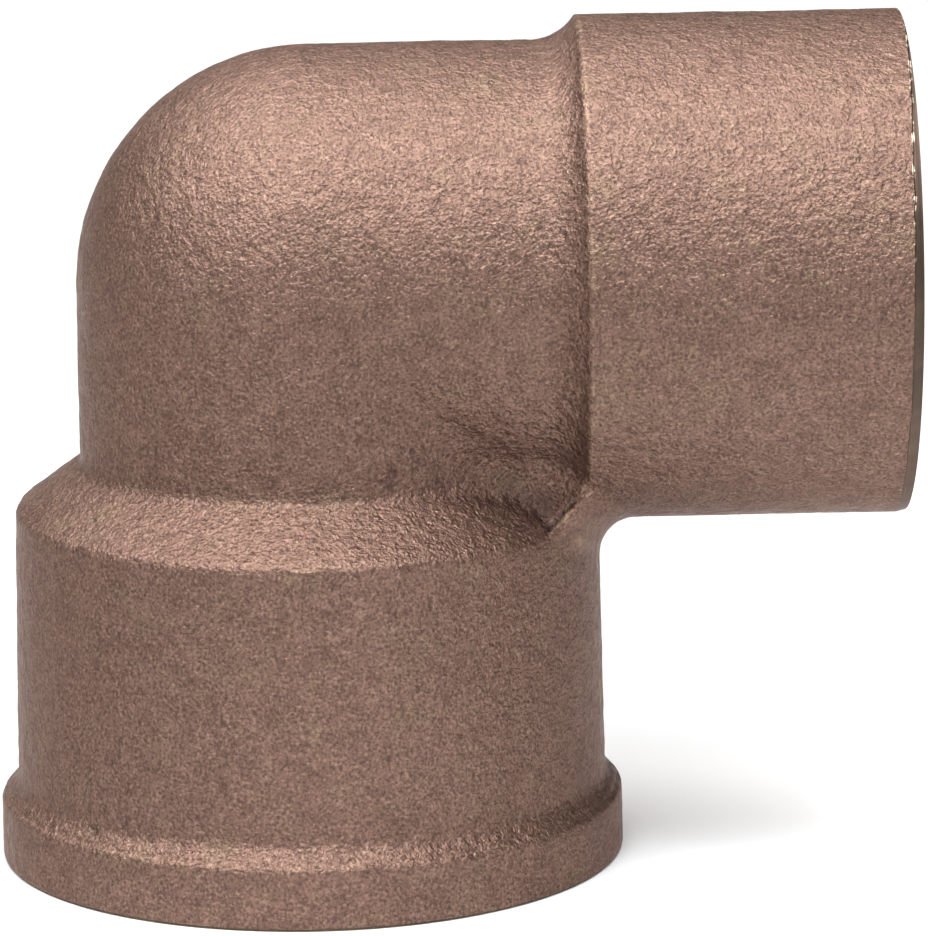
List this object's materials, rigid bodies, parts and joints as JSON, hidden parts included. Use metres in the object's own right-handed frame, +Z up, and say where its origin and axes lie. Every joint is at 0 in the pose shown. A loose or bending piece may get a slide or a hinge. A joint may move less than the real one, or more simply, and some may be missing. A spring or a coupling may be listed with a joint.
{
  "type": "pipe elbow",
  "caption": "Cast bronze 90 degree pipe elbow with a banded female pipe-thread socket at one end and a solder cup for copper tube at the other.",
  "frame": {"origin": "centre of the threaded end's face, on the thread axis", "axes": "+Z up along the thread axis into the fitting, +X out along the solder cup's axis"},
  "size_m": [0.0737, 0.0508, 0.0683],
  "materials": {
    "cast_bronze": "sand-cast bronze, dull pinkish brown skin with a fine grain"
  },
  "bodies": {
    "root": {"threaded_socket": "cast_bronze", "elbow_body": "cast_bronze", "solder_cup": "cast_bronze"}
  },
  "joints": []
}
